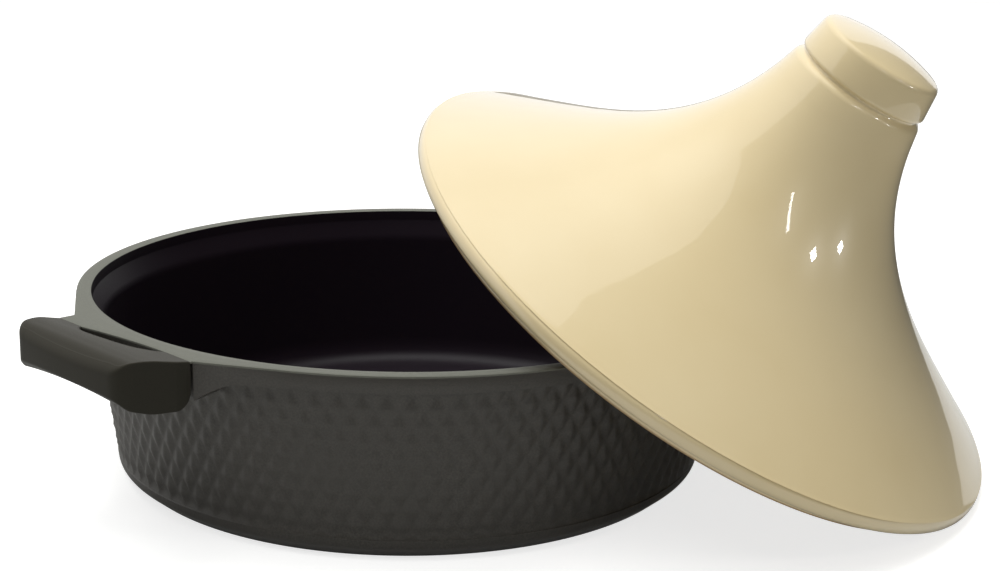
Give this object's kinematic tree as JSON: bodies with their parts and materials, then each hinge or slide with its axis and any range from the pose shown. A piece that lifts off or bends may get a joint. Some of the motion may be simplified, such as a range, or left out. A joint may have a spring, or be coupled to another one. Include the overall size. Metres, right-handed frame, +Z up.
{
  "type": "tagine",
  "caption": "Cast aluminium pot with a diamond-faceted wall and screwed-on side grips, with a flared glazed stoneware lid that leans on its rim.",
  "frame": {"origin": "centre of the pot's base, at the surface that it stands on", "axes": "+Z up along the pot's axis, X through the two grips, the lid leaning on the pot from the -Y, +X side"},
  "size_m": [0.4007, 0.3717, 0.2045],
  "materials": {
    "cast_pot": "satin non-stick coating on cast aluminium",
    "grip": "fine matt",
    "glazed_lid": "glossy cream glaze",
    "screw": "plain"
  },
  "bodies": {
    "pot": {"pot_body": "cast_pot", "left_grip": "grip", "right_grip": "grip", "left_front_screw": "screw", "left_back_screw": "screw", "right_front_screw": "screw", "right_back_screw": "screw"},
    "lid": {"lid": "glazed_lid"}
  },
  "joints": [
    {"name": "lid_lift", "type": "slide", "parent": "pot", "child": "lid", "axis": [0, 0, 1], "range_m": [0, 0.15]}
  ]
}
